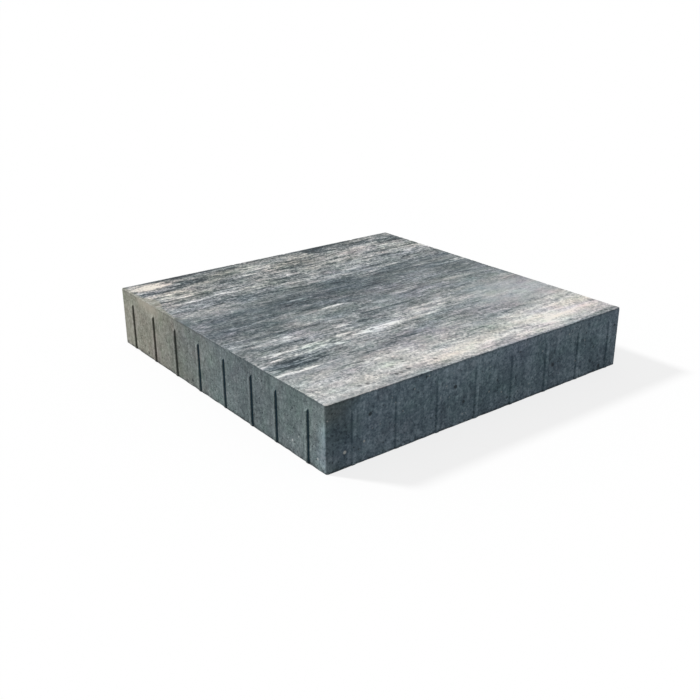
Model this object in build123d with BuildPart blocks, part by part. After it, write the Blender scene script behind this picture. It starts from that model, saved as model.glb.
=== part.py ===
"""Concrete road slab: a square slab cast in one piece, with a row of spacer ribs on each side."""

import os

from build123d import *

# Overall size in millimetres, measured over the crests of the ribs
slab_side = 600.0
slab_thickness = 100.0

# Rounding of the four upright corners, and of the arris round the wearing face
corner_radius = 4.0
arris_radius = 1.5

# Spacer ribs, which hold the joint open between two neighbouring slabs
ribs_per_side = 8
rib_proud = 2.5
rib_root_width = 8.0
rib_crest_width = 5.0
rib_head_gap = 18.0    # plain band between the head of a rib and the wearing face
rib_head_slope = 4.0   # height over which the head runs out into the side
rib_pass_gap = 4.0     # clear gap between the ribs of two neighbours in one joint
rib_end_gap = 35.0     # from a corner to the middle of the first rib, before a row is shifted

# Places of the two rows that show, on the -Y side (front) and on the -X side (left)
front_row_shift = 10.0  # towards +X
left_row_shift = 4.0    # towards -Y
left_row_set_back = 2   # ribs at the -Y end of the left row that follow a shorter bay

# Sizes that follow from those above
body_side = slab_side - 2 * rib_proud
rib_height = slab_thickness - rib_head_gap
rib_pitch = (body_side - 2 * rib_end_gap) / (ribs_per_side - 1)
rib_pass = rib_root_width + rib_pass_gap

# Each row as a turn from the -Y side, a shift along its side, and a count of ribs set back at its end.
# The rows on the two other sides are shifted so that their ribs pass those of a neighbour in the joint.
rib_rows = (
    (0, front_row_shift, 0),
    (90, -left_row_shift - rib_pass, 0),
    (180, rib_pass - front_row_shift, 0),
    (270, left_row_shift, left_row_set_back),
)

# One rib, with its root on the plane y = 0 and its crest towards -Y
with BuildPart() as rib:
    # In plan it narrows from root to crest, so that it leaves the mould cleanly
    with BuildSketch():
        with BuildLine():
            Polyline(
                (-rib_root_width / 2, 0),
                (-rib_crest_width / 2, -rib_proud),
                (rib_crest_width / 2, -rib_proud),
                (rib_root_width / 2, 0),
                close=True,
            )
        make_face()
    extrude(amount=rib_height)
    # Seen from the end it is upright, with a head that slopes back to the side of the slab
    with BuildSketch(Plane.YZ):
        with BuildLine():
            Polyline(
                (0, 0),
                (-rib_proud, 0),
                (-rib_proud, rib_height - rib_head_slope),
                (0, rib_height),
                close=True,
            )
        make_face()
    extrude(amount=rib_root_width / 2, both=True, mode=Mode.INTERSECT)

# The slab stands on its underside, with the origin at the middle of that face
with BuildPart() as road_slab:
    with BuildSketch():
        RectangleRounded(body_side, body_side, corner_radius)
    extrude(amount=slab_thickness)
    wearing_face = road_slab.faces().sort_by(Axis.Z)[-1]
    fillet(wearing_face.edges(), radius=arris_radius)
    for turn, shift, set_back in rib_rows:
        row = []
        for place in range(ribs_per_side):
            along = (place - (ribs_per_side - 1) / 2) * rib_pitch + shift
            if place >= ribs_per_side - set_back:
                along -= rib_pass
            row.append((along, -body_side / 2))
        with Locations(Location((0, 0, 0), (0, 0, turn))):
            with Locations(*row):
                add(rib.part)

road_slab.part.label = "road_slab"

os.makedirs("parts", exist_ok=True)
export_step(road_slab.part, "parts/road_slab.step")
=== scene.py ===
"""Concrete road slab: the worn cast surface and its finish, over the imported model."""

import math
import random

import bpy
import numpy as np
from mathutils import Matrix, Vector, geometry, noise


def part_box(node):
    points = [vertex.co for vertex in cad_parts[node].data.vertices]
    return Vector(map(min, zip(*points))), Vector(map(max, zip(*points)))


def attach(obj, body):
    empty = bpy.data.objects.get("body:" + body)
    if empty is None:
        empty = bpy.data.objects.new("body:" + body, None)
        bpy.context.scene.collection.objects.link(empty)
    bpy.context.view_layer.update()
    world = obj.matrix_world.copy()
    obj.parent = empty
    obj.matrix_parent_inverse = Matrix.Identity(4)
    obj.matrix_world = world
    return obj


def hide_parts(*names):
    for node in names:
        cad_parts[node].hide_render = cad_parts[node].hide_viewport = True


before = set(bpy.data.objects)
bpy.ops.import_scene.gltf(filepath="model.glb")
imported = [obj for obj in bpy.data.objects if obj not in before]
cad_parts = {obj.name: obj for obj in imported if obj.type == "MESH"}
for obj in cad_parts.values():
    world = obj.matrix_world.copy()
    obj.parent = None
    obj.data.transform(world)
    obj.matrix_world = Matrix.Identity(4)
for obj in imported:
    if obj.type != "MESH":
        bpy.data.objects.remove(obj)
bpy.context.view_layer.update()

MM = 0.001

# Sizes of the slab, in metres. The overall ones come from the frame, and the rest repeat the source.
NODE = "road_slab"
slab_low, slab_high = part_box(NODE)
thickness = slab_high.z - slab_low.z
rib_proud = 2.5 * MM
half_body = (slab_high.x - slab_low.x) / 2 - rib_proud
corner_radius = 4 * MM
arris_radius = 1.5 * MM
ribs_per_side = 8
rib_root_width = 8 * MM
rib_crest_width = 5 * MM
rib_head_gap = 18 * MM
rib_head_slope = 4 * MM
rib_end_gap = 35 * MM
rib_pass = 12 * MM
# Rows of ribs, anticlockwise from the -Y side: shift along the side, ribs set back at the end, and how
# strongly the corners before and after each rib are darkened with painted shade
RIB_ROWS = (
    (10 * MM, 0, 0.42, 0.08),
    (-16 * MM, 0, 0.40, 0.40),
    (2 * MM, 0, 0.40, 0.40),
    (4 * MM, 2, 0.0, 1.0),
)
# Painted shade on the upright corner that follows each of those sides
CORNER_SHADE = (0.90, 0.25, 0.0, 0.0)
# The shade painted beside a rib starts a little inside the edge of its crest, is full just before its root,
# and fades out over the side. Below the head it comes in faster than the rib stands out.
SHADE_INSIDE_CREST = 0.2 * MM
SHADE_BEFORE_ROOT = 0.4 * MM
SHADE_REACH = 1.6 * MM
SHADE_RISE = 1.8

# Fineness of the surface mesh
WALL_STEP = 3.2 * MM
WALL_ROW = 3.6 * MM
LOW_ROWS = (0.7 * MM, 1.8 * MM)  # extra rows along the crumbled lower edge
ROOT_STEP = 0.7 * MM             # extra column beside the root of a rib
CREST_STEP = 0.9 * MM            # extra column inside the edge of its crest
TOP_STEP_X = 4.0 * MM
TOP_STEP_Y = 1.8 * MM
TOP_STRIP = 2.5 * MM
UNDER_STEP = 20 * MM
CORNER_STEPS = 5
ARRIS_STEPS = 4

# How far a seed shifts the noise that places the wear, and the noise in the finish along X, Y and Z
WEAR_SEED_SHIFT = 17.3
FINISH_SEED_SHIFT = (3.7, 5.1, 2.3)

# Layers of noise: height, lumps to the metre along X, Y and Z, and seed. In millimetres are the waves of the
# surface as cast, the sway of the streaks and side marks, and the wander of the strip where the facing is
# rubbed off. The others are shares: how ragged the streaks are, and how much the fine streaks and the grain
# come and go.
WAVES = ((0.22, (11, 11, 13), 1), (0.10, (70, 70, 60), 2), (0.07, (190, 190, 170), 3))
SWAY = ((2.5, (5, 9, 0), 6), (2.5, (26, 60, 0), 7))
WANDER = ((5, (24, 24, 0), 9), (4, (60, 60, 0), 10))
RAGGED = ((0.5, (18, 120, 0), 8),)
STREAKY = ((0.40, (9, 16, 0), 12),)
GRAINY = ((0.30, (14, 18, 0), 13),)
# The waves are sunk a little, in millimetres, so that they stay inside the slab's box
WAVES_SUNK = 0.3

# Wear of the lower edge and of the arris: depth in millimetres, the height that it takes up, and lumps to
# the metre. The crumbs' noise is raised a little, so that they take up more than half of the edge.
CRUMB_DEPTH = 1.2
CRUMB_HEIGHT = 11 * MM
CRUMB_LUMPS = (60, 60, 45)
CRUMB_RAISED = 0.05
ARRIS_WEAR = 0.9
ARRIS_BAND = 4 * MM
ARRIS_LUMPS = (38, 38, 38)
# The ribs are worn back over this height at their feet, where this share of them still stands out
FOOT_HEIGHT = 5 * MM
FOOT_LEFT = 0.35

# Chips along the arris: the least radius and the spread in millimetres, and the least depth and the spread
# as shares of the radius
CHIP_SEED = 11
CHIPS = 34
CHIP_RADIUS = (2.0, 4.0)
CHIP_DEPTH = (0.15, 0.25)

# The floor lies a hair below the slab, so that the two don't share a plane. It is open under the slab but for
# a narrow lap, so that the underside shows from below.
FLOOR_DROP = 0.2 * MM
FLOOR_REACH = 40.0
FLOOR_LAP = 10 * MM
FLOOR_WHITE = 0.8   # share of plain white in the floor that the camera sees, the rest being lit
FLOOR_BOUNCE = 0.3  # grey level of the floor for the light that it throws back

# Light: the key and the fill together light a level face at a plain 1. The key stands so high above the
# floor, and is swung so far from -X towards +Y.
KEY_LEVEL = 0.63
FILL_LEVEL = 0.37
KEY_HEIGHT = math.radians(40)
KEY_SWING = math.radians(54)
KEY_SOFTNESS = math.radians(8)

# The photograph's viewpoint, solved from the slab's corners in the picture. The eye is in metres, and the
# lens and the sensor in millimetres.
EYE = (-0.909, -1.137, 0.603)
AZIMUTH = math.radians(232.23)
TILT = math.radians(22.35)
ROLL = math.radians(-0.17)
LENS = 47.21
SENSOR = 36.0

# Colours, as 0 to 255 values. Tones run from dark to pale, each with its place on a scale from 0 to 1.
FACE_TONES = (
    (0.000, (50, 58, 62)),
    (0.143, (72, 81, 85)),
    (0.321, (107, 115, 117)),
    (0.500, (145, 150, 152)),
    (0.679, (184, 186, 187)),
    (0.857, (218, 219, 218)),
    (1.000, (243, 243, 241)),
)
GREY_TONES = ((0.0, (66, 77, 80)), (0.5, (109, 121, 123)), (1.0, (152, 163, 164)))
BEIGE_TONES = ((0.0, (103, 102, 91)), (0.5, (147, 147, 135)), (1.0, (187, 186, 175)))
# The blue tones paint the cool shade of the -Y and +X sides, which face away from the key
SHADED_BLUE_TONES = ((0.0, (59, 75, 88)), (0.5, (119, 138, 151)), (1.0, (180, 200, 213)))
CREAM_TINT = (255, 247, 237)
SLATE_TINT = (231, 243, 255)
PINK_TINT = (255, 249, 250)
VIOLET_TINT = (253, 248, 254)
GREEN_TINT = (247, 253, 249)
# Painted shade beside the ribs and on the corners: dark blue towards -Y and dark olive towards +Y
NEAR_RIB_SHADE = (0, 50, 66)
FAR_RIB_SHADE = (58, 60, 50)
# Dark crumbs along the bottom, painted contact shade at the very bottom, and the dark line under the arris
EDGE_DARK_AND_SHADE = (38, 44, 48)
PALE_BODY = (190, 183, 167)
# Painted shade inside pores and pits
PIT_SHADE = (40, 48, 52)
STONE = (214, 218, 216)

# Tone of the wearing face where nothing marks it, and the lowest tone and the span that its colours cover
FACE_LEVEL = 0.46
TONE_LOW = -0.2
TONE_SPAN = 1.4

# How matt the concrete is, and how strongly it shines
ROUGHNESS = 0.86
SHINE = 0.25

# Stretches over which the finish changes, in metres: heights on the sides, and then places along Y
LOW_BAND = (1 * MM, 9 * MM)
LOWEST_BAND = (1.5 * MM, 3.5 * MM)
PALE_HEIGHT = (thickness - 24 * MM, thickness - 6 * MM)
ARRIS_LINE = (thickness - 5 * MM, thickness - 2 * MM)
FACING_END = (thickness - 1.3 * MM, thickness - 0.5 * MM)
FACING_RAGGED = 1.2 * MM  # how far the end of the facing strays
RIB_SHADE_TURN = (40 * MM, 130 * MM)
UNDER_TURN = (80 * MM, 120 * MM)
PALE_START = (145 * MM, 180 * MM)
PALE_END = (225 * MM, 250 * MM)

# Threads in the wearing face: lumps to the metre along X, Y and Z, seed, and strength
THREADS = (((14, 100, 1), 15, 0.25), ((34, 200, 1), 19, 0.18))
# Faint tints in both finishes: lumps to the metre, seed, and the colour that stands against the green
TINTS = (((26, 42, 36), 18, PINK_TINT), ((8, 14, 12), 20, VIOLET_TINT))
# Open pores: cells to the metre, seed, largest radius in cells, and share of the cells that have one
PORES = ((85, 11, 0.26, 0.25), (210, 12, 0.32, 0.35))

# The ends of a streak sway more than its edges, by this factor. The edges of one below the steady half width,
# in millimetres, sway less. A higher power means a sharper end or edge.
END_SWAY = 4
STEADY_WIDTH = 10
END_POWER = 4
STROKE_POWER = 5
BAND_POWER = 3
# Least and most that the fine streaks and the grain may show
SHOW_LIMITS = (0.2, 2)

# The strip where the facing is rubbed off, in millimetres from the near left corner: its least width, the
# stretches of Y over which it sets in and starts to wander, and the softness of its edge
RUBBED_WIDTH = 3
RUBBED_START = (300, 360)
WANDER_START = (280, 340)
RUBBED_EDGE = (-3, 5)

# Streaks in the wearing face, in millimetres from the near left corner: from x, to x, y, half width,
# tone (paler above 0, darker below) and warmth (cream above 0, slate below). Those of less than the narrow
# half width are broken strokes, and the others soft bands.
NARROW = 18
STREAKS = (
    # Broad bands
    (-30, 640, 46, 58, 0.28, 0.18),
    (360, 660, 62, 44, 0.14, 0.12),
    (-30, 640, 352, 70, -0.20, -0.15),
    (100, 420, 350, 60, -0.13, -0.05),
    (-30, 130, 285, 58, -0.16, -0.15),
    (-30, 640, 545, 75, -0.02, 0.42),
    (100, 640, 575, 30, -0.12, 0.00),
    (-30, 640, 606, 18, -0.48, 0.00),
    (520, 660, 574, 18, 0.16, 0.00),
    (440, 640, 178, 56, 0.12, -0.05),
    (490, 660, 92, 36, 0.14, 0.25),
    (300, 410, 330, 34, 0.09, 0.00),
    (500, 640, 325, 40, -0.12, 0.00),
    (-40, 82, 38, 42, 0.15, 0.05),
    (100, 230, 20, 24, 0.07, 0.10),
    (190, 400, 28, 34, 0.08, 0.10),
    (540, 660, 25, 34, 0.08, 0.15),
    (90, 310, 88, 26, -0.07, 0.00),
    (300, 640, 148, 32, 0.09, -0.05),
    (-20, 110, 205, 32, -0.10, -0.10),
    (300, 640, 388, 30, -0.06, 0.00),
    (-20, 110, 495, 36, 0.12, 0.30),
    (95, 205, 570, 30, -0.14, 0.00),
    (588, 640, 285, 55, -0.35, 0.00),
    # Near strip
    (200, 330, 32, 18, 0.20, 0.40),
    (410, 580, 42, 22, 0.23, 0.30),
    (0, 60, 22, 14, 0.10, 0.00),
    (280, 370, 70, 11, -0.32, -0.10),
    (565, 640, 28, 8, -0.16, 0.00),
    (70, 170, 82, 7, -0.28, 0.00),
    (430, 520, 84, 5, -0.14, 0.00),
    (100, 230, 12, 4, -0.14, 0.00),
    # The next is painted light: a thin bluish-grey line on the near arris
    (150, 640, 1, 4, -0.16, -0.60),
    # Between the near strip and the dark band
    (-14, 78, 112, 4, 0.76, 0.05),
    (6, 116, 138, 15, -0.50, -0.50),
    (-5, 70, 124, 4, -0.34, -0.20),
    (60, 340, 122, 12, -0.12, -0.10),
    (25, 115, 181, 7, 0.54, 0.25),
    (5, 112, 163, 6, 0.46, 0.10),
    (95, 205, 172, 15, 0.36, 0.10),
    (190, 274, 173, 7, 0.66, 0.10),
    (284, 366, 173, 4, 0.42, 0.05),
    (300, 420, 202, 11, 0.22, 0.15),
    (172, 204, 215, 5, 0.52, 0.00),
    (0, 105, 208, 11, -0.24, -0.15),
    (215, 325, 228, 6, -0.22, 0.00),
    (320, 430, 212, 6, 0.20, 0.05),
    (435, 540, 240, 7, -0.26, 0.00),
    (8, 64, 240, 5, 0.42, 0.00),
    (74, 120, 228, 5, 0.42, 0.00),
    (-15, 118, 250, 6, -0.30, -0.10),
    (130, 190, 254, 4, 0.22, 0.00),
    (105, 212, 243, 5, -0.36, 0.00),
    (200, 275, 257, 16, -0.18, -0.30),
    (300, 460, 266, 8, 0.16, 0.00),
    (460, 560, 278, 5, 0.12, 0.00),
    (205, 262, 294, 4, 0.24, 0.00),
    (176, 280, 293, 6, 0.34, 0.00),
    (10, 205, 306, 6, 0.28, 0.00),
    # In the dark band
    (120, 460, 342, 3, -0.22, 0.00),
    (95, 215, 325, 6, -0.28, 0.00),
    (180, 252, 358, 4, 0.32, 0.00),
    (515, 660, 361, 6, 0.56, 0.00),
    (515, 660, 234, 12, 0.18, 0.00),
    (325, 480, 322, 10, 0.32, 0.00),
    (400, 500, 352, 3, 0.14, 0.00),
    (-20, 64, 334, 14, 0.20, -0.25),
    (280, 360, 392, 12, -0.10, -0.25),
    (520, 640, 398, 10, -0.10, -0.20),
    (-10, 115, 395, 24, 0.13, 0.15),
    # Far part
    (292, 364, 424, 5, 0.42, 0.05),
    (105, 215, 418, 13, -0.32, -0.10),
    (440, 520, 455, 9, -0.26, -0.10),
    (95, 215, 458, 6, 0.34, 0.00),
    (220, 300, 448, 6, -0.14, 0.00),
    (515, 640, 472, 9, 0.36, 0.05),
    (430, 530, 478, 5, 0.26, 0.00),
    (215, 315, 492, 7, -0.20, 0.00),
    (60, 140, 490, 5, 0.20, 0.10),
    (-10, 100, 510, 14, 0.32, 0.30),
    (145, 218, 517, 7, -0.26, -0.10),
    (190, 248, 528, 7, 0.22, 0.05),
    (222, 312, 546, 17, 0.26, 0.12),
    (300, 360, 505, 5, 0.16, 0.00),
    (435, 505, 532, 20, 0.06, 0.15),
    (480, 566, 521, 8, 0.26, 0.00),
    (-2, 84, 573, 14, 0.52, 0.65),
    (4, 84, 561, 10, 0.54, 0.55),
    (-10, 96, 532, 8, -0.50, -0.35),
    (86, 152, 552, 12, -0.52, -0.35),
    (212, 264, 567, 9, 0.30, 0.00),
    (318, 394, 563, 9, 0.44, 0.20),
    (378, 430, 574, 20, -0.46, -0.35),
    (515, 640, 545, 13, -0.42, -0.10),
    (425, 520, 566, 12, -0.34, -0.15),
)

# Places of the wearing face that are rougher or smoother than the rest, in millimetres: middle x, half
# length, middle y, half width, and what they add to a plain 1 of fine streaks and of grain
ROUGH_PLACES = (
    (300, 500, 520, 110, 0.80, 0.65),
    (150, 200, 190, 70, 0.60, 0.25),
    (535, 90, 185, 64, -0.85, -0.45),
    (300, 500, 350, 50, -0.08, 0.05),
    (480, 160, 350, 50, -0.15, -0.15),
    (300, 500, 50, 55, -0.15, 0.25),
    (50, 90, 52, 42, -0.40, 0.10),
)

# Marks on the sides, in millimetres: side (0 is -Y, then anticlockwise), middle along the side from its
# middle, half length, middle height, half height, tone
SIDE_MARKS = (
    (0, -276, 34, 50, 45, -0.24),
    (0, -130, 120, 14, 16, 0.10),
    (0, -60, 40, 22, 14, -0.06),
    (0, 150, 34, 40, 18, -0.12),
    (0, 60, 200, 94, 8, 0.10),
    (0, 230, 24, 30, 22, -0.10),
    (3, -262, 34, 50, 70, 0.10),
    (3, -100, 45, 50, 60, -0.10),
    (3, 40, 40, 85, 16, 0.10),
    (3, 112, 46, 50, 60, -0.13),
    (3, 270, 26, 40, 60, 0.12),
    # The next is a painted highlight down the near upright corner
    (3, 293, 5, 50, 80, 0.16),
)

# Places on the left edge where the facing is rubbed off: middle, half length and reach, in millimetres
WORN_LOBES = ((490, 44, 18), (378, 22, 14), (575, 60, 5))

# Single pits and pale stones, in metres: place, radius, and tone (pale above 0, a pit below)
SPOTS = (
    ((-0.2675, -0.2975, 0.024), 3.4 * MM, 1.0),
    ((-0.2350, -0.2975, 0.030), 2.6 * MM, 0.8),
    ((-0.2250, -0.2975, 0.067), 4.0 * MM, -1.0),
    ((-0.0700, -0.2975, 0.062), 4.0 * MM, -1.0),
    ((-0.0530, -0.2975, 0.034), 3.8 * MM, -0.9),
    ((0.1380, -0.2975, 0.041), 4.4 * MM, -0.9),
    ((0.2360, -0.2975, 0.046), 3.4 * MM, -0.7),
    ((0.2540, -0.2975, 0.008), 4.4 * MM, -0.9),
    ((-0.2975, -0.2200, 0.020), 2.4 * MM, 0.7),
    ((-0.2975, -0.2350, 0.031), 1.8 * MM, 0.5),
    ((-0.2975, -0.2780, 0.016), 2.6 * MM, 0.5),
    ((-0.2975, 0.0560, 0.010), 3.6 * MM, -0.9),
    ((-0.2975, 0.2080, 0.007), 4.0 * MM, -0.9),
    ((-0.2975, 0.0130, 0.058), 2.0 * MM, -0.6),
    ((-0.2255, -0.2755, 0.100), 4.4 * MM, -0.6),
    ((-0.2125, -0.2765, 0.100), 4.4 * MM, -0.7),
    ((-0.1610, -0.2755, 0.100), 4.6 * MM, -0.9),
    ((-0.1525, -0.2755, 0.100), 3.8 * MM, -0.8),
    ((-0.1375, -0.2725, 0.100), 4.2 * MM, -0.8),
    ((-0.1515, -0.2545, 0.100), 3.8 * MM, -0.6),
    ((-0.1225, -0.2405, 0.100), 4.0 * MM, -0.7),
    ((-0.0845, -0.2685, 0.100), 4.2 * MM, -0.7),
)


def lumps(points, per_metre, seed):
    """Smooth noise from -1 to 1 at each point, with so many lumps to the metre along X, Y and Z."""
    places = points * np.asarray(per_metre, float) + WEAR_SEED_SHIFT * seed
    return np.array([noise.noise(p) for p in places.tolist()])


def layered(points, layers):
    """Layers of that noise together, each given as height, lumps to the metre and seed."""
    return sum(height * lumps(points, per_metre, seed) for height, per_metre, seed in layers)


def ease(values, start, end):
    """Rises smoothly from 0 at start to 1 at end."""
    t = np.clip((values - start) / (end - start), 0, 1)
    return t * t * (3 - 2 * t)


def fill(stops, step):
    """The stops, with even places added wherever two of them lie more than a step apart."""
    places = [stops[0]]
    for a, b in zip(stops, stops[1:]):
        count = max(1, math.ceil((b - a) / step - 1e-6))
        places.extend(a + (b - a) * (k + 1) / count for k in range(count))
    return np.array(places)


def rib_columns():
    """Places of the mesh columns across one rib, from its middle."""
    root, crest = rib_root_width / 2, rib_crest_width / 2
    flank = (root + crest) / 2
    half = np.array([root + SHADE_REACH, root + ROOT_STEP, root, flank, crest, crest - CREST_STEP])
    return np.concatenate([-half, [0], half[::-1]])


def side_row(shift, set_back, shade_before, shade_after):
    """One side with its ribs, seen as the -Y side: places along it, how far each belongs to a rib's crest,
    and how much painted shade it has beside the ribs."""
    root, crest = rib_root_width / 2, rib_crest_width / 2
    straight = half_body - corner_radius
    pitch = 2 * (half_body - rib_end_gap) / (ribs_per_side - 1)
    centres = (np.arange(ribs_per_side) - (ribs_per_side - 1) / 2) * pitch + shift
    centres[ribs_per_side - set_back:] -= rib_pass
    stops = [-straight, *(centres[:, None] + rib_columns()).ravel(), straight]
    along = fill(stops, WALL_STEP)
    gaps = along[:, None] - centres
    gaps = gaps[np.arange(len(along)), np.abs(gaps).argmin(1)]
    nearest = np.abs(gaps)
    shade_mark = np.where(gaps < 0, shade_before, shade_after)
    comes_in = ease(nearest, crest - SHADE_INSIDE_CREST, root - SHADE_BEFORE_ROOT)
    fades_out = ease(-nearest, -root - SHADE_REACH, -root)
    return along, ease(-nearest, -root, -crest), comes_in * fades_out * shade_mark


def outline():
    """The slab's outline in plan, anticlockwise: places, outward normals, how far each place belongs to a
    rib's crest, and how much painted shade it has beside the ribs and on the corners."""
    straight = half_body - corner_radius
    angle = -math.pi / 2 + math.pi / 2 * np.arange(1, CORNER_STEPS) / CORNER_STEPS
    corner_normal = np.stack([np.cos(angle), np.sin(angle)], 1)
    corner = np.array([straight, -straight]) + corner_radius * corner_normal
    places, normals, ribs, shade_mark = [], [], [], []
    for quarter, row in enumerate(RIB_ROWS):
        turn = np.array(Matrix.Rotation(quarter * math.pi / 2, 2))
        along, rib, side_shade = side_row(*row)
        places.append(np.stack([along, np.full_like(along, -half_body)], 1) @ turn.T)
        normals.append(np.tile((0, -1), (len(along), 1)) @ turn.T)
        ribs.append(rib)
        shade_mark.append(side_shade)
        places.append(corner @ turn.T)
        normals.append(corner_normal @ turn.T)
        ribs.append(np.zeros(len(angle)))
        shade_mark.append(np.full(len(angle), CORNER_SHADE[quarter]))
    return tuple(np.concatenate(part) for part in (places, normals, ribs, shade_mark))


def triangles(places, loops, keep=None):
    """Delaunay triangles between closed loops of places, anticlockwise, where keep(middle) holds if given."""
    edges = []
    for loop in loops:
        edges.extend(zip(loop, np.roll(loop, -1)))
    edges = [(int(a), int(b)) for a, b in edges]
    flat = [Vector(p) for p in places.tolist()]
    found = geometry.delaunay_2d_cdt(flat, edges, [], 1, 1e-8)
    faces, sources = found[2], found[3]
    result = []
    for face in faces:
        corners = [sources[v][0] for v in face]
        a, b, c = places[corners]
        if keep is None or keep((a + b + c) / 3):
            turn = (b - a)[0] * (c - a)[1] - (b - a)[1] * (c - a)[0]
            result.append(corners if turn > 0 else corners[::-1])
    return result


class Shell:
    """The slab's surface as it grows: points, the way that each faces, how far each belongs to a rib's crest,
    how much painted shade each has, and the faces between them."""

    def __init__(self):
        self.points = np.empty((0, 3))
        self.outward = np.empty((0, 3))
        self.crest = np.empty(0)
        self.painted_shade = np.empty(0)
        self.faces = []

    def add(self, points, outward, crest=0.0, painted_shade=0.0):
        """Adds points and returns their numbers."""
        count = len(points)
        numbers = np.arange(count) + len(self.points)
        self.points = np.concatenate([self.points, points])
        self.outward = np.concatenate([self.outward, np.broadcast_to(outward, (count, 3))])
        self.crest = np.concatenate([self.crest, np.broadcast_to(crest, count)])
        self.painted_shade = np.concatenate([self.painted_shade, np.broadcast_to(painted_shade, count)])
        return numbers


def wall_profile(head):
    """The wall's rows from the bottom up, as inset and height, with the arris at the top."""
    stops = [0, *LOW_ROWS, head - rib_head_slope, head, thickness - arris_radius]
    profile = [(0.0, z) for z in fill(stops, WALL_ROW)]
    for k in range(1, ARRIS_STEPS + 1):
        angle = math.pi / 2 * k / ARRIS_STEPS
        inset = arris_radius * (1 - math.cos(angle))
        profile.append((inset, thickness - arris_radius * (1 - math.sin(angle))))
    return profile


def add_walls(shell):
    """The four sides with their ribs, and the arris. Returns the numbers of the lowest row and of the rim."""
    plan, normal, rib, shade_mark = outline()
    head = thickness - rib_head_gap
    rows = []
    for inset, z in wall_profile(head):
        head_share = np.clip((head - z) / rib_head_slope, 0, 1)
        stands = np.minimum(rib, head_share)
        foot_share = FOOT_LEFT + (1 - FOOT_LEFT) * min(1, z / FOOT_HEIGHT)
        edge = plan + normal * (rib_proud * stands * foot_share - inset)[:, None]
        lift = inset / arris_radius
        points = np.column_stack([edge, np.full(len(plan), z)])
        outward = np.column_stack([normal * (1 - lift), np.full(len(plan), lift)])
        # The shade painted beside the ribs ends at their heads
        rows.append(shell.add(points, outward, stands, shade_mark * min(1, SHADE_RISE * head_share)))
    for lower, upper in zip(rows, rows[1:]):
        shell.faces.extend(np.stack([lower, np.roll(lower, -1), np.roll(upper, -1), upper], 1))
    return rows[0], rows[-1]


def add_top(shell, rim):
    """The wearing face: a grid, finer across the streaks, joined to the rim by a narrow strip."""
    reach = half_body - arris_radius - TOP_STRIP
    gx, gy = np.meshgrid(fill([-reach, reach], TOP_STEP_X), fill([-reach, reach], TOP_STEP_Y))
    points = np.column_stack([gx.ravel(), gy.ravel(), np.full(gx.size, thickness)])
    grid = shell.add(points, (0, 0, 1)).reshape(gx.shape)
    cells = np.stack([grid[:-1, :-1], grid[:-1, 1:], grid[1:, 1:], grid[1:, :-1]], -1)
    shell.faces.extend(cells.reshape(-1, 4))
    border = np.concatenate([grid[0, :-1], grid[:-1, -1], grid[-1, :0:-1], grid[:0:-1, 0]])
    strip = np.concatenate([rim, border])
    loops = (np.arange(len(rim)), len(rim) + np.arange(len(border)))

    def off_grid(middle):
        return max(abs(middle[0]), abs(middle[1])) > reach

    shell.faces.extend(strip[t] for t in triangles(shell.points[strip][:, :2], loops, off_grid))


def add_underside(shell, lowest_row):
    """The underside, coarse and flat."""
    inner = np.arange(-half_body + UNDER_STEP, half_body - UNDER_STEP / 2, UNDER_STEP)
    ux, uy = np.meshgrid(inner, inner)
    middle = shell.add(np.column_stack([ux.ravel(), uy.ravel(), np.zeros(ux.size)]), (0, 0, -1))
    sole = np.concatenate([lowest_row, middle])
    loops = (np.arange(len(lowest_row)),)
    shell.faces.extend(sole[t][::-1] for t in triangles(shell.points[sole][:, :2], loops))


def scoop(points, centre, radius):
    """Carves a ball out of the surface, by moving each point inside it out to its skin."""
    offset = points - centre
    distance = np.linalg.norm(offset, axis=1)
    inside = distance < radius
    points[inside] = centre + offset[inside] * (radius / distance[inside])[:, None]


def weather(points, outward):
    """Uneven casting, a crumbled lower edge and a worn arris, all of it inward or nearly so."""
    z = points[:, 2]
    side = 1 - np.abs(outward[:, 2])
    waves = layered(points, WAVES)
    crumbs = np.maximum(0, lumps(points, CRUMB_LUMPS, 4) + CRUMB_RAISED)
    crumbs *= (1 - ease(z, 0, CRUMB_HEIGHT)) * side
    worn = np.maximum(0, lumps(points, ARRIS_LUMPS, 5))
    worn *= ease(z, thickness - ARRIS_BAND, thickness) * side
    move = (waves - WAVES_SUNK - CRUMB_DEPTH * crumbs - ARRIS_WEAR * worn) * MM
    move[outward[:, 2] < -0.5] = 0
    points += outward * move[:, None]
    points[:, 2] = np.clip(points[:, 2], 0, thickness)


def chip(points, edge):
    """Small chips along the arris, whose places as cast are given as its edge."""
    dice = random.Random(CHIP_SEED)
    by_side = np.abs(edge[:, :2]) > half_body - 2 * arris_radius
    away = np.column_stack([np.where(by_side, np.sign(edge[:, :2]), 0), np.ones(len(edge))])
    away /= np.linalg.norm(away, axis=1)[:, None]
    least_radius, radius_spread = CHIP_RADIUS
    least_depth, depth_spread = CHIP_DEPTH
    for _ in range(CHIPS):
        k = dice.randrange(len(edge))
        radius = (least_radius + radius_spread * dice.random() ** 3) * MM
        depth = radius * (least_depth + depth_spread * dice.random())
        scoop(points, edge[k] + away[k] * (radius - depth), radius)


def from_corner(points):
    """Places in plan, in millimetres from the near left corner."""
    return (points[:, 0] + half_body) / MM, (points[:, 1] + half_body) / MM


def streaks(points, sway):
    """Tone of the broad bands, tone of the narrow strokes, and warmth, at each point."""
    x, y = from_corner(points)
    ragged = 1 + layered(points, RAGGED)
    tone, stroke, warmth = np.zeros((3, len(points)))
    for x_from, x_to, y_mid, half_width, shade, warm in STREAKS:
        narrow = half_width < NARROW
        along = np.abs(x + END_SWAY * sway - (x_from + x_to) / 2) / ((x_to - x_from) / 2)
        over = np.abs(y + sway * min(1, half_width / STEADY_WIDTH) - y_mid) / half_width
        share = np.exp(-along ** END_POWER - over ** (STROKE_POWER if narrow else BAND_POWER)) * ragged
        if narrow:
            stroke += shade * share
        else:
            tone += shade * share
        warmth += warm * share
    return tone, stroke, warmth


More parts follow.
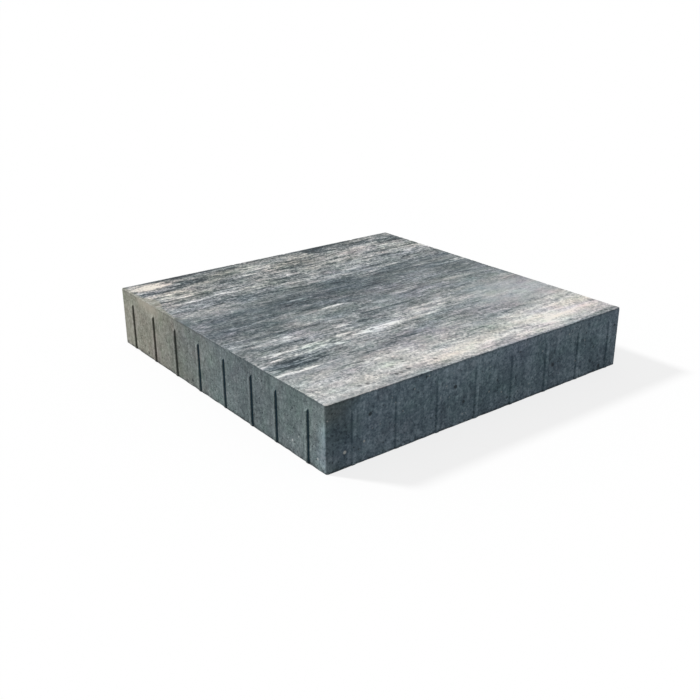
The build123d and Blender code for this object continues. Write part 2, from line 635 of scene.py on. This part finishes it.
def side_marks(points, outward, sway):
    """Tone of the marks on the sides, at each point."""
    tone = np.zeros(len(points))
    side = np.abs(outward[:, 2]) < 0.5
    z = points[:, 2] / MM
    for quarter, middle, half_length, height, half_height, shade in SIDE_MARKS:
        turn = quarter * math.pi / 2
        along = (points[:, 0] * math.cos(turn) + points[:, 1] * math.sin(turn)) / MM
        faces_it = side & (outward[:, 0] * math.sin(turn) - outward[:, 1] * math.cos(turn) > 0.7)
        share = np.exp(-((along + sway - middle) / half_length) ** 2 - ((z - height) / half_height) ** 2)
        tone[faces_it] += (shade * share)[faces_it]
    return tone


def roughness(points):
    """How strongly the fine streaks, and the grain, show at each point."""
    x, y = from_corner(points)
    streaky = 1 + layered(points, STREAKY)
    grainy = 1 + layered(points, GRAINY)
    for x_mid, half_length, y_mid, half_width, more_streaks, more_grain in ROUGH_PLACES:
        share = np.exp(-((x - x_mid) / half_length) ** 4 - ((y - y_mid) / half_width) ** 4)
        streaky += more_streaks * share
        grainy += more_grain * share
    return np.clip(streaky, *SHOW_LIMITS), np.clip(grainy, *SHOW_LIMITS)


def worn_facing(points):
    """1 where the streaked facing is rubbed off along the far half of the left edge, and 0 elsewhere."""
    x, y = from_corner(points)
    width = RUBBED_WIDTH * ease(y, *RUBBED_START)
    for middle, half_length, reach in WORN_LOBES:
        width = np.maximum(width, reach * np.exp(-((y - middle) / half_length) ** 2))
    width += layered(points, WANDER) * ease(y, *WANDER_START)
    return ease(width - x, *RUBBED_EDGE)


def build_slab():
    """The slab as one closed mesh, with the values that its finish needs stored at each point."""
    shell = Shell()
    lowest_row, rim = add_walls(shell)
    add_top(shell, rim)
    add_underside(shell, lowest_row)
    points, outward = shell.points, shell.outward
    edge = points[rim]
    weather(points, outward)
    chip(points, edge)
    mesh = bpy.data.meshes.new("cast_slab")
    mesh.from_pydata(points.tolist(), [], [tuple(int(v) for v in face) for face in shell.faces])
    sway = layered(points, SWAY)
    top_tone, stroke, warmth = streaks(points, sway)
    tone = np.where(outward[:, 2] < 0.5, side_marks(points, outward, sway), top_tone)
    streaky, grainy = roughness(points)
    values_by_name = {
        "tone": tone, "stroke": stroke, "warmth": warmth, "crest": shell.crest, "painted_shade": shell.painted_shade,
        "bare": worn_facing(points), "streaky": streaky, "grainy": grainy}
    for name, values in values_by_name.items():
        mesh.attributes.new(name, "FLOAT", "POINT").data.foreach_set("value", values.astype(np.float32))
    mesh.shade_smooth()
    mesh.validate()
    slab = bpy.data.objects.new("cast_slab", mesh)
    bpy.context.collection.objects.link(slab)
    return slab


def srgb(colour):
    """A colour given as 0 to 255 values, as the shader's linear colour."""
    def linear(value):
        c = value / 255
        return c / 12.92 if c <= 0.04045 else ((c + 0.055) / 1.055) ** 2.4
    return (*(linear(value) for value in colour), 1.0)


class Finish:
    """A node material, with a short call for each kind of node that it needs."""

    def __init__(self, name):
        self.material = bpy.data.materials.new(name)
        self.material.use_nodes = True
        self.tree = self.material.node_tree
        self.tree.nodes.clear()
        self.place = self.add("ShaderNodeTexCoord").outputs["Object"]

    def add(self, kind, **settings):
        node = self.tree.nodes.new(kind)
        for name, value in settings.items():
            setattr(node, name, value)
        return node

    def feed(self, socket, value):
        if isinstance(value, bpy.types.NodeSocket):
            self.tree.links.new(value, socket)
        else:
            socket.default_value = value

    def math(self, operation, *values, clamp=False):
        node = self.add("ShaderNodeMath", operation=operation, use_clamp=clamp)
        for socket, value in zip(node.inputs, values):
            self.feed(socket, value)
        return node.outputs[0]

    def plus(self, a, b):
        return self.math("ADD", a, b)

    def less(self, a, b):
        return self.math("SUBTRACT", a, b)

    def times(self, a, b):
        return self.math("MULTIPLY", a, b)

    def larger(self, a, b):
        return self.math("MAXIMUM", a, b)

    def rest(self, value):
        """What is left of 1."""
        return self.less(1.0, value)

    def total(self, *terms):
        """The sum of weight times (value less a half), over terms of (value, weight)."""
        result = 0.0
        for value, weight in terms:
            result = self.plus(result, self.times(self.less(value, 0.5), weight))
        return result

    def step(self, value, start, end):
        """Rises smoothly from 0 at start to 1 at end."""
        node = self.add("ShaderNodeMapRange", interpolation_type="SMOOTHSTEP")
        for name, given in (("Value", value), ("From Min", start), ("From Max", end)):
            self.feed(node.inputs[name], given)
        return node.outputs["Result"]

    def stretched(self, per_metre, seed):
        node = self.add("ShaderNodeMapping")
        node.inputs["Scale"].default_value = per_metre
        node.inputs["Location"].default_value = [seed * shift for shift in FINISH_SEED_SHIFT]
        self.feed(node.inputs["Vector"], self.place)
        return node.outputs["Vector"]

    def noise(self, per_metre, seed, detail=3.0, roughness=0.55, distortion=0.0):
        node = self.add("ShaderNodeTexNoise")
        self.feed(node.inputs["Vector"], self.stretched(per_metre, seed))
        settings = {"Scale": 1.0, "Detail": detail, "Roughness": roughness, "Distortion": distortion}
        for name, value in settings.items():
            node.inputs[name].default_value = value
        return node.outputs["Fac"]

    def cells(self, per_metre, seed):
        """Scattered cells: distance from each cell's point, in cells, and a random number for each cell."""
        node = self.add("ShaderNodeTexVoronoi")
        self.feed(node.inputs["Vector"], self.stretched((per_metre,) * 3, seed))
        node.inputs["Scale"].default_value = 1.0
        split = self.add("ShaderNodeSeparateColor")
        self.feed(split.inputs[0], node.outputs["Color"])
        return node.outputs["Distance"], split.outputs[0]

    def spot(self, place, radius):
        """1 in the middle of a single round spot, and 0 outside it."""
        node = self.add("ShaderNodeVectorMath", operation="DISTANCE")
        self.feed(node.inputs[0], self.place)
        node.inputs[1].default_value = place
        return self.rest(self.step(node.outputs["Value"], radius * 0.45, radius))

    def attribute(self, name):
        return self.add("ShaderNodeAttribute", attribute_name=name).outputs["Fac"]

    def mix(self, factor, a, b, blend="MIX"):
        node = self.add("ShaderNodeMix", data_type="RGBA", blend_type=blend, clamp_factor=True)
        for socket, value in ((node.inputs[0], factor), (node.inputs[6], a), (node.inputs[7], b)):
            self.feed(socket, value)
        return node.outputs[2]

    def ramp(self, value, tones):
        node = self.add("ShaderNodeValToRGB")
        elements = node.color_ramp.elements
        while len(elements) < len(tones):
            elements.new(0.5)
        for element, (position, colour) in zip(elements, tones):
            element.position = position
            element.color = srgb(colour)
        self.feed(node.inputs["Fac"], value)
        return node.outputs["Color"]


class Concrete(Finish):
    """Grey concrete with a streaked wearing face, and grain that runs all through it."""

    def __init__(self):
        super().__init__("streaked_concrete")
        split = self.add("ShaderNodeSeparateXYZ")
        self.feed(split.inputs[0], self.place)
        self.x, self.y, self.z = split.outputs
        facing = self.add("ShaderNodeSeparateXYZ")
        self.feed(facing.inputs[0], self.add("ShaderNodeNewGeometry").outputs["Normal"])
        self.off_sole = self.step(facing.outputs["Z"], -0.9, -0.6)
        self.grain = self.noise((260, 260, 260), 1, detail=4.0, roughness=0.75)
        self.grit = self.noise((700, 700, 700), 2, detail=2.0, roughness=0.6)
        self.flecks = self.noise((130, 170, 150), 16, detail=2.0, roughness=0.6)
        self.sand = self.cells(300, 14)[1]
        self.clouds = self.noise((60, 60, 50), 9, detail=4.0, roughness=0.6)
        self.mould_marks = self.noise((170, 170, 6), 8, detail=3.0, roughness=0.6)
        self.tone = self.attribute("tone")
        self.bare = self.attribute("bare")

    def strokes(self, wisps):
        """The narrow strokes, broken into flakes, the faint ones more than the strong ones."""
        stroke = self.attribute("stroke")
        flakes = self.noise((55, 230, 1), 21, detail=3.0, roughness=0.6)
        strength = self.times(self.math("ABSOLUTE", stroke), 0.5)
        cover = self.plus(strength, self.total((wisps, 1.0), (flakes, 1.8)))
        return self.times(stroke, self.times(self.step(cover, 0.0, 0.28), 1.15))

    def fine_streaks(self, wisps):
        """Drags, wisps and threads along X, and the grain of the wearing face."""
        drags = self.noise((12, 50, 1), 4, detail=5.0, roughness=0.62, distortion=0.4)
        fine = self.total((drags, 0.68), (wisps, 0.55))
        for per_metre, seed, strength in THREADS:
            thread = self.noise(per_metre, seed, detail=3.0, roughness=0.6, distortion=0.5)
            pale = self.step(thread, 0.57, 0.66)
            dusky = self.step(self.rest(thread), 0.57, 0.66)
            fine = self.plus(fine, self.times(self.less(pale, dusky), strength))
        lumpy = self.noise((40, 75, 1), 22, detail=3.0, roughness=0.55)
        speckle = self.total(
            (lumpy, 0.35), (self.flecks, 0.60), (self.grain, 1.05), (self.grit, 0.4), (self.sand, 0.24))
        fine = self.times(fine, self.attribute("streaky"))
        return self.plus(fine, self.times(speckle, self.attribute("grainy")))

    def wearing_face(self):
        """Streaks dragged along X, from slate through grey to cream."""
        bands = self.noise((4, 15, 1), 3, detail=3.0, distortion=0.3)
        wisps = self.noise((36, 140, 1), 5, detail=4.0, roughness=0.65, distortion=0.3)
        marked = self.plus(self.tone, self.strokes(wisps))
        level = self.plus(FACE_LEVEL, self.total((bands, 0.40)))
        tone = self.plus(self.plus(marked, self.fine_streaks(wisps)), level)
        face = self.ramp(self.math("DIVIDE", self.less(tone, TONE_LOW), TONE_SPAN), FACE_TONES)
        hues = self.noise((12, 30, 1), 6, detail=4.0)
        warmth = self.plus(self.attribute("warmth"), self.total((hues, 2.3)))
        face = self.mix(self.larger(warmth, 0.0), face, srgb(CREAM_TINT), "MULTIPLY")
        coolness = self.times(warmth, -1.0)
        return self.mix(self.larger(coolness, 0.0), face, srgb(SLATE_TINT), "MULTIPLY")

    def body_hues(self):
        """Body concrete in grey, beige and blue, with marks from the mould and soft blotches."""
        blotch = self.noise((13, 13, 16), 7, detail=4.0, roughness=0.6)
        mottle = self.total(
            (blotch, 0.6), (self.mould_marks, 0.45), (self.clouds, 0.75), (self.flecks, 0.65),
            (self.grain, 1.15), (self.grit, 0.5), (self.sand, 0.24))
        depth = self.plus(self.plus(0.5, self.tone), mottle)
        depth = self.plus(depth, self.times(self.attribute("crest"), 0.10))
        return [self.ramp(depth, tones) for tones in (GREY_TONES, BEIGE_TONES, SHADED_BLUE_TONES)]

    def body(self, grey, beige, blue):
        """The sides, from beige at the far left corner through grey to blue at the near right one, with
        painted shade beside the ribs. The blue is painted cool shade on the sides away from the key. The
        underside drifts between grey and blue."""
        round_way = self.times(self.off_sole, self.less(self.x, self.y))
        drift = self.total((self.noise((6, 6, 10), 10, detail=3.0), 0.5))
        warm_end = self.less(self.times(drift, 0.4), round_way)
        cool_end = self.plus(self.times(drift, 0.3), round_way)
        body = self.mix(self.step(warm_end, 0.25, 0.50), grey, beige)
        # Blue paints the cool shade of the -Y and +X sides, which face away from the key
        body = self.mix(self.step(cool_end, -0.02, 0.05), body, blue)
        # Painted shade beside the ribs and on the upright corners, dark blue towards -Y and dark olive
        # towards +Y
        far = self.step(self.y, *RIB_SHADE_TURN)
        shade_mark = self.mix(far, srgb(NEAR_RIB_SHADE), srgb(FAR_RIB_SHADE))
        return self.mix(self.times(self.attribute("painted_shade"), 0.96), body, shade_mark)

    def dark_edges(self, body):
        """The sides are dark and broken along the bottom, with painted contact shade at the very bottom, and
        have a dark line just under the arris.
        """
        crumbs = self.noise((150, 150, 190), 17, detail=2.0, roughness=0.5)
        low = self.times(self.off_sole, self.rest(self.step(self.z, *LOW_BAND)))
        broken = self.times(low, self.step(self.plus(crumbs, self.times(low, 0.10)), 0.54, 0.66))
        # Painted contact shade along the lowest few millimetres
        lowest = self.times(self.off_sole, self.rest(self.step(self.z, *LOWEST_BAND)))
        broken = self.larger(broken, self.times(lowest, self.step(crumbs, 0.36, 0.52)))
        line = self.step(self.z, *ARRIS_LINE)
        dark = self.larger(self.times(broken, 0.65), self.times(line, 0.30))
        return self.mix(dark, body, srgb(EDGE_DARK_AND_SHADE))

    def pale_place(self, body):
        """The left side is paler just below the place where the facing is rubbed off most."""
        height = self.step(self.z, *PALE_HEIGHT)
        start = self.step(self.y, *PALE_START)
        end = self.rest(self.step(self.y, *PALE_END))
        paler = self.times(self.times(height, start), end)
        paler = self.times(paler, self.times(self.bare, 0.55))
        return self.mix(paler, body, srgb(PALE_BODY))

    def rubbed(self, face, grey, beige):
        """The wearing face, with the body showing where the facing is rubbed off along the left edge."""
        faded = self.step(self.plus(self.bare, self.total((self.grain, 1.2))), 0.25, 0.75)
        under = self.mix(self.step(self.y, *UNDER_TURN), grey, beige)
        return self.mix(faded, face, self.mix(0.25, under, face))

    def tinted(self, colour):
        """Faint pinks, violets and greens in both finishes."""
        for per_metre, seed, ruddy in TINTS:
            mottle = self.noise(per_metre, seed, detail=3.0, roughness=0.6)
            colour = self.mix(self.step(mottle, 0.50, 0.72), colour, srgb(ruddy), "MULTIPLY")
            green = self.step(self.rest(mottle), 0.50, 0.72)
            colour = self.mix(green, colour, srgb(GREEN_TINT), "MULTIPLY")
        return colour

    def pores_and_stones(self, off_top):
        """Open pores, pale grains of aggregate, and the single pits and stones."""
        pores = 0.0
        for per_metre, seed, largest, share in PORES:
            distance, chance = self.cells(per_metre, seed)
            radius = self.times(self.step(chance, 1 - share, 1.0), largest)
            hole = self.rest(self.step(distance, self.times(radius, 0.5), radius))
            hole = self.times(hole, self.math("GREATER_THAN", radius, 0.02))
            pores = self.larger(pores, hole)
        pores = self.times(pores, self.plus(0.26, self.times(off_top, 0.49)))
        distance, chance = self.cells(150, 13)
        stones = self.times(self.rest(self.step(distance, 0.12, 0.26)), self.step(chance, 0.93, 0.96))
        stones = self.times(stones, self.times(off_top, 0.6))
        for place, radius, strength in SPOTS:
            spot = self.times(self.spot(place, radius), abs(strength))
            if strength > 0:
                stones = self.larger(stones, spot)
            else:
                pores = self.larger(pores, spot)
        return pores, stones

    def relief(self, off_top, pores):
        """The normal with relief too fine for the mesh, whose heights are in millimetres."""
        height = self.total((self.grain, 0.9), (self.grit, 0.35), (self.clouds, 0.5))
        height = self.plus(height, self.times(off_top, self.total((self.mould_marks, 0.35))))
        height = self.less(height, self.times(pores, 0.9))
        bump = self.add("ShaderNodeBump")
        bump.inputs["Strength"].default_value = 1.0
        bump.inputs["Distance"].default_value = MM
        self.feed(bump.inputs["Height"], height)
        return bump.outputs["Normal"]

    def build(self):
        """Joins the wearing face, which ends raggedly on the arris, to the body, and returns the material."""
        grey, beige, blue = self.body_hues()
        face = self.rubbed(self.wearing_face(), grey, beige)
        body = self.pale_place(self.dark_edges(self.body(grey, beige, blue)))
        ragged = self.plus(self.z, self.total((self.grain, FACING_RAGGED)))
        on_top = self.step(ragged, *FACING_END)
        off_top = self.rest(on_top)
        colour = self.tinted(self.mix(on_top, body, face))
        pores, stones = self.pores_and_stones(off_top)
        # Painted shade inside the pores and pits
        colour = self.mix(self.times(pores, 0.85), colour, srgb(PIT_SHADE))
        colour = self.mix(stones, colour, srgb(STONE))
        matt = self.math("ADD", ROUGHNESS, self.total((self.grain, 0.25)), clamp=True)
        shader = self.add("ShaderNodeBsdfPrincipled")
        shader.inputs["Specular IOR Level"].default_value = SHINE
        self.feed(shader.inputs["Base Color"], colour)
        self.feed(shader.inputs["Roughness"], matt)
        self.feed(shader.inputs["Normal"], self.relief(off_top, pores))
        output = self.add("ShaderNodeOutputMaterial")
        self.feed(output.inputs["Surface"], shader.outputs["BSDF"])
        return self.material


def seen_directly(tree):
    """1 for rays from the camera, mirrors and glass, and 0 for light that falls on the object."""
    path = tree.nodes.new("ShaderNodeLightPath")
    value = path.outputs["Is Camera Ray"]
    for name in ("Is Glossy Ray", "Is Transmission Ray"):
        node = tree.nodes.new("ShaderNodeMath")
        node.operation = "MAXIMUM"
        tree.links.new(value, node.inputs[0])
        tree.links.new(path.outputs[name], node.inputs[1])
        value = node.outputs[0]
    return value


def floor_material():
    """Shows white with the slab's shadow, and throws little light back at the slab's sides."""
    material = bpy.data.materials.new("pale_floor")
    material.use_nodes = True
    tree = material.node_tree
    tree.nodes.clear()
    lit = tree.nodes.new("ShaderNodeBsdfDiffuse")
    lit.inputs["Color"].default_value = (1, 1, 1, 1)
    white = tree.nodes.new("ShaderNodeEmission")
    shown = tree.nodes.new("ShaderNodeMixShader")
    shown.inputs[0].default_value = FLOOR_WHITE
    tree.links.new(lit.outputs[0], shown.inputs[1])
    tree.links.new(white.outputs[0], shown.inputs[2])
    bounced = tree.nodes.new("ShaderNodeBsdfDiffuse")
    bounced.inputs["Color"].default_value = (FLOOR_BOUNCE, FLOOR_BOUNCE, FLOOR_BOUNCE, 1)
    choose = tree.nodes.new("ShaderNodeMixShader")
    tree.links.new(seen_directly(tree), choose.inputs[0])
    tree.links.new(bounced.outputs[0], choose.inputs[1])
    tree.links.new(shown.outputs[0], choose.inputs[2])
    output = tree.nodes.new("ShaderNodeOutputMaterial")
    tree.links.new(choose.outputs[0], output.inputs["Surface"])
    return material


def build_floor():
    """A pale floor, as a wide square frame round the slab's foot."""
    corners = []
    for reach in (FLOOR_REACH, half_body - FLOOR_LAP):
        for x, y in ((-reach, -reach), (reach, -reach), (reach, reach), (-reach, reach)):
            corners.append((x, y, -FLOOR_DROP))
    mesh = bpy.data.meshes.new("floor")
    mesh.from_pydata(corners, [], [(k, (k + 1) % 4, 4 + (k + 1) % 4, 4 + k) for k in range(4)])
    mesh.materials.append(floor_material())
    floor = bpy.data.objects.new("floor", mesh)
    bpy.context.collection.objects.link(floor)
    return floor


def towards(azimuth, height):
    """The direction at an azimuth, anticlockwise from +X, and a height above the floor, both in radians."""
    level = math.cos(height)
    return Vector((level * math.cos(azimuth), level * math.sin(azimuth), math.sin(height)))


def light_key():
    """A soft key from the left and a little behind."""
    lamp = bpy.data.lights.new("key", "SUN")
    lamp.energy = KEY_LEVEL * math.pi / math.sin(KEY_HEIGHT)
    lamp.angle = KEY_SOFTNESS
    key = bpy.data.objects.new("key", lamp)
    key.rotation_mode = "QUATERNION"
    key.rotation_quaternion = towards(math.pi - KEY_SWING, KEY_HEIGHT).to_track_quat("Z", "Y")
    bpy.context.collection.objects.link(key)


def light_world():
    """An even fill from all round, which shows as white."""
    world = bpy.data.worlds.new("studio")
    world.use_nodes = True
    tree = world.node_tree
    tree.nodes.clear()
    strength = tree.nodes.new("ShaderNodeMapRange")
    tree.links.new(seen_directly(tree), strength.inputs["Value"])
    strength.inputs["To Min"].default_value = FILL_LEVEL
    background = tree.nodes.new("ShaderNodeBackground")
    background.inputs["Color"].default_value = (1, 1, 1, 1)
    tree.links.new(strength.outputs["Result"], background.inputs["Strength"])
    output = tree.nodes.new("ShaderNodeOutputWorld")
    tree.links.new(background.outputs[0], output.inputs["Surface"])
    bpy.context.scene.world = world


def place_camera():
    """Looks at the slab from the photograph's viewpoint."""
    back = towards(AZIMUTH, TILT)
    right = (-back).cross(Vector((0, 0, 1))).normalized()
    up = back.cross(right)
    rolled = Matrix((right, up, back)).transposed() @ Matrix.Rotation(ROLL, 3, "Z")
    data = bpy.data.cameras.new("camera")
    data.sensor_width = SENSOR
    data.lens = LENS
    camera = bpy.data.objects.new("camera", data)
    camera.matrix_world = Matrix.Translation(EYE) @ rolled.to_4x4()
    bpy.context.collection.objects.link(camera)
    bpy.context.scene.camera = camera


slab = build_slab()
slab.data.materials.append(Concrete().build())
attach(slab, "root")
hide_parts(NODE)
build_floor()
light_key()
light_world()
place_camera()
bpy.context.scene.view_settings.view_transform = "Standard"
